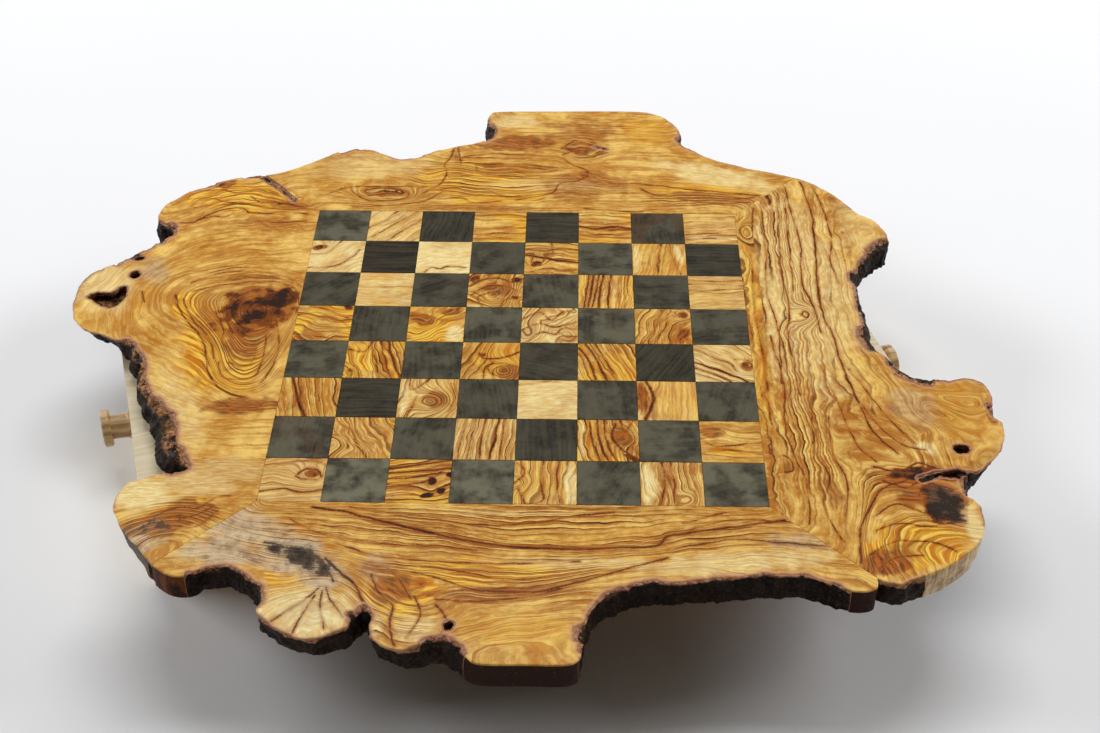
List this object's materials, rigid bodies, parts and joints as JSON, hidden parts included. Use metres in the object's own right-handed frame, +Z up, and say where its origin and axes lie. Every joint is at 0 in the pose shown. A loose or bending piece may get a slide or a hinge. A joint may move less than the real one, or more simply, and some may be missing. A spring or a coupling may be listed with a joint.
{
  "type": "chess set",
  "caption": "Live-edge wooden chess board, mitred slabs round an inlaid field, on a slim base whose two drawers slide out at opposite ends and hold the men.",
  "frame": {"origin": "on the base's underside, below the centre of the playing field", "axes": "+X to the right along the field's front edge, +Y to its back edge, +Z up"},
  "size_m": [0.6114, 0.5696, 0.08],
  "materials": {
    "olive_slab": "clear gloss varnish, bark left on the live edges",
    "light_olive": "clear gloss varnish",
    "stained_wood": "black-stained, clear gloss varnish",
    "plywood": "raw plywood",
    "base_wood": "sanded pale wood, satin",
    "drawer_wood": "sanded pale wood, satin",
    "knob_wood": "turned pale wood, satin",
    "screw_steel": "zinc-plated",
    "light_men": "turned olive wood, satin varnish",
    "dark_men": "turned wood, black-stained, satin varnish"
  },
  "bodies": {
    "board": {"left_slab": "olive_slab", "back_slab": "olive_slab", "right_slab": "olive_slab", "front_slab": "olive_slab", "filler_strip": "olive_slab", "board_core": "plywood", "light_squares": "light_olive", "dark_squares": "stained_wood", "base_top": "base_wood", "base_bottom": "base_wood", "front_wall": "base_wood", "back_wall": "base_wood", "divider": "base_wood", "left_end_panel": "base_wood", "right_end_panel": "base_wood", "top_screws": "screw_steel", "bottom_screws": "screw_steel"},
    "left_drawer": {"left_drawer_face": "drawer_wood", "left_drawer_outer_side": "drawer_wood", "left_drawer_inner_side": "drawer_wood", "left_drawer_rear": "drawer_wood", "left_drawer_floor": "drawer_wood", "left_knob": "knob_wood", "left_knob_screw": "screw_steel", "light_king": "light_men", "light_queen": "light_men", "light_bishop_1": "light_men", "light_bishop_2": "light_men", "light_knight_1": "light_men", "light_knight_2": "light_men", "light_rook_1": "light_men", "light_rook_2": "light_men", "light_pawns": "light_men"},
    "right_drawer": {"right_drawer_face": "drawer_wood", "right_drawer_outer_side": "drawer_wood", "right_drawer_inner_side": "drawer_wood", "right_drawer_rear": "drawer_wood", "right_drawer_floor": "drawer_wood", "right_knob": "knob_wood", "right_knob_screw": "screw_steel", "dark_king": "dark_men", "dark_queen": "dark_men", "dark_bishop_1": "dark_men", "dark_bishop_2": "dark_men", "dark_knight_1": "dark_men", "dark_knight_2": "dark_men", "dark_rook_1": "dark_men", "dark_rook_2": "dark_men", "dark_pawns": "dark_men"}
  },
  "joints": [
    {"name": "left_drawer_slide", "type": "slide", "parent": "board", "child": "left_drawer", "axis": [-0.9588, -0.284, 0], "range_m": [0, 0.38]},
    {"name": "right_drawer_slide", "type": "slide", "parent": "board", "child": "right_drawer", "axis": [0.9588, 0.284, 0], "range_m": [0, 0.38]}
  ]
}
